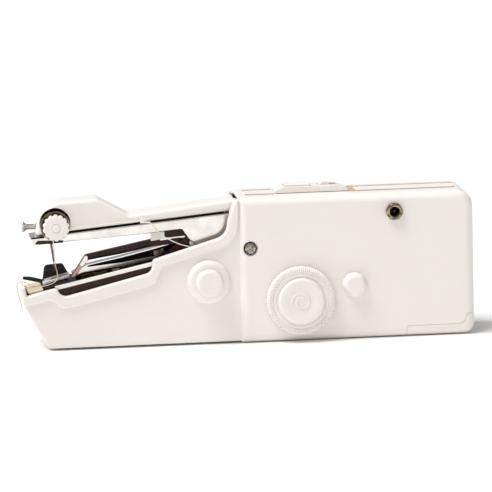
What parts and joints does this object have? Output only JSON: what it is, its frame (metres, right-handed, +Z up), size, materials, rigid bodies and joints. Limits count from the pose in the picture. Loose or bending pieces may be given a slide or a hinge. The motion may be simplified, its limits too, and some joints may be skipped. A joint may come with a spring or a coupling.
{
  "type": "sewing machine",
  "caption": "Handheld battery sewing machine: white two-part case, swinging needle arm over a sloping bed, handwheel, thread tension knob, presser foot and spool.",
  "frame": {"origin": "centre of the bounding box on the plane that the flat base stands on", "axes": "+X from the needle end to the battery end, +Y from the front (handwheel) face to the rear face, +Z up"},
  "size_m": [0.2165, 0.0414, 0.0737],
  "materials": {
    "white_case": "moulded, satin gloss, slightly warm white",
    "nickel": "nickel plated, small scratches",
    "black_plastic": "moulded",
    "grey_plastic": "acetal, matt",
    "brass": "turned",
    "brass_plate": "pressed sheet, dull",
    "motor_can": "plated can",
    "battery_wrap": "printed film over a metal can, without markings",
    "steel": "ground",
    "chrome": "bright plated",
    "dark_steel": "blackened, textured",
    "thread": "cream cotton thread"
  },
  "bodies": {
    "case": {"front_case": "white_case", "rear_case": "white_case", "case_screw_1": "nickel", "case_screw_2": "nickel", "case_screw_3": "nickel", "case_screw_4": "nickel", "jack_nut": "nickel", "jack_barrel": "black_plastic", "switch_housing": "white_case", "battery_1": "battery_wrap", "battery_2": "battery_wrap", "battery_3": "battery_wrap", "battery_4": "battery_wrap", "cell_contact": "steel", "battery_divider": "grey_plastic", "motor": "motor_can", "motor_cradle": "grey_plastic", "shaft_bush": "brass", "arm_pivot_pin": "steel", "bed_channel": "dark_steel", "needle_plate": "brass_plate", "lever_bracket": "steel", "lever_pivot_pin": "nickel", "bed_screw_1": "nickel", "bed_screw_2": "nickel", "presser_spring": "chrome", "thread_supply": "thread", "thread_tail": "thread"},
    "handwheel": {"handwheel": "white_case", "wheel_shaft": "steel", "main_gear": "grey_plastic"},
    "idler": {"idler_gear": "grey_plastic"},
    "pinion": {"motor_pinion": "brass"},
    "needle_arm": {"arm_channel": "chrome", "arm_cover": "white_case", "needle_clamp": "steel", "needle": "steel", "tension_stud": "chrome", "tension_disc_rear": "brass", "tension_disc_front": "chrome", "tension_spring": "chrome", "thread_hook": "steel", "thread_needle": "thread"},
    "needle_screw": {"needle_screw": "steel"},
    "tension_knob": {"tension_knob": "white_case"},
    "connecting_rod": {"connecting_rod": "nickel"},
    "feed": {"feed_lever": "chrome", "feed_guide": "white_case"},
    "presser": {"presser_lever": "chrome", "presser_foot": "dark_steel"},
    "looper": {"looper": "steel"},
    "power_button": {"power_button": "white_case"},
    "lock_slider": {"lock_slider": "white_case"},
    "battery_cover": {"battery_cover": "white_case", "cover_contact": "steel"},
    "spool_spindle": {"spool_spindle": "white_case"},
    "bobbin": {"bobbin": "steel", "bobbin_thread": "thread"},
    "spare_spindle": {"spare_spindle": "white_case"}
  },
  "joints": [
    {"name": "handwheel_spin", "type": "hinge", "parent": "case", "child": "handwheel", "pos_m": [0.02445, -0.01675, 0.0199], "axis": [0, 1, 0], "continuous": true},
    {"name": "idler_spin", "type": "hinge", "parent": "case", "child": "idler", "pos_m": [0.03365, -0.00875, 0.03583], "axis": [0, 1, 0], "continuous": true},
    {"name": "pinion_spin", "type": "hinge", "parent": "case", "child": "pinion", "pos_m": [0.04612, -0.00575, 0.04303], "axis": [0, 1, 0], "continuous": true},
    {"name": "needle_arm_swing", "type": "hinge", "parent": "case", "child": "needle_arm", "pos_m": [0.00745, 0.00325, 0.058], "axis": [0, -1, 0], "range_deg": [0, 5.5], "deforming": ["thread_supply", "thread_tail"]},
    {"name": "rod_swing", "type": "hinge", "parent": "needle_arm", "child": "connecting_rod", "pos_m": [0.03145, -0.00225, 0.0576], "axis": [0, -1, 0], "range_deg": [-5.5, 0]},
    {"name": "feed_swing", "type": "hinge", "parent": "case", "child": "feed", "pos_m": [-0.02455, -0.00105, 0.0474], "axis": [0, -1, 0], "range_deg": [-1.93, 0]},
    {"name": "looper_slide", "type": "slide", "parent": "case", "child": "looper", "axis": [0.9781, 0, 0.2079], "range_m": [0, 0.005]},
    {"name": "presser_lift", "type": "hinge", "parent": "case", "child": "presser", "pos_m": [-0.02455, 0.00325, 0.0474], "axis": [0, 1, 0], "range_deg": [0, 2.5], "stiffness_Nm_per_rad": 0.3},
    {"name": "needle_screw_turn", "type": "hinge", "parent": "needle_arm", "child": "needle_screw", "pos_m": [-0.09955, 0.00325, 0.057], "axis": [1, 0, 0], "continuous": true},
    {"name": "tension_knob_turn", "type": "hinge", "parent": "needle_arm", "child": "tension_knob", "pos_m": [-0.08985, -0.00975, 0.0581], "axis": [0, 1, 0], "range_deg": [-360, 360]},
    {"name": "power_button_press", "type": "slide", "parent": "case", "child": "power_button", "axis": [0, 0, -1], "range_m": [0, 0.0016], "stiffness_N_per_m": 500},
    {"name": "lock_slide", "type": "slide", "parent": "case", "child": "lock_slider", "axis": [1, 0, 0], "range_m": [0, 0.0028]},
    {"name": "battery_cover_slide", "type": "slide", "parent": "case", "child": "battery_cover", "axis": [1, 0, 0], "range_m": [0, 0.036]},
    {"name": "spool_spindle_pull", "type": "slide", "parent": "case", "child": "spool_spindle", "axis": [0, -1, 0], "range_m": [0, 0.028]},
    {"name": "bobbin_spin", "type": "hinge", "parent": "case", "child": "bobbin", "pos_m": [-0.01865, 0.01225, 0.0299], "axis": [0, 1, 0], "continuous": true},
    {"name": "spare_spindle_pull", "type": "slide", "parent": "case", "child": "spare_spindle", "axis": [0, -1, 0], "range_m": [0, 0.015]}
  ],
  "couplings": [
    {"joint": "idler_spin", "follows": "handwheel_spin", "ratio": -3.6},
    {"joint": "pinion_spin", "follows": "handwheel_spin", "ratio": 12.6},
    {"joint": "rod_swing", "follows": "needle_arm_swing", "ratio": -1},
    {"joint": "feed_swing", "follows": "needle_arm_swing", "ratio": -0.35},
    {"joint": "looper_slide", "follows": "needle_arm_swing", "m_per_rad": 0.052087}
  ]
}
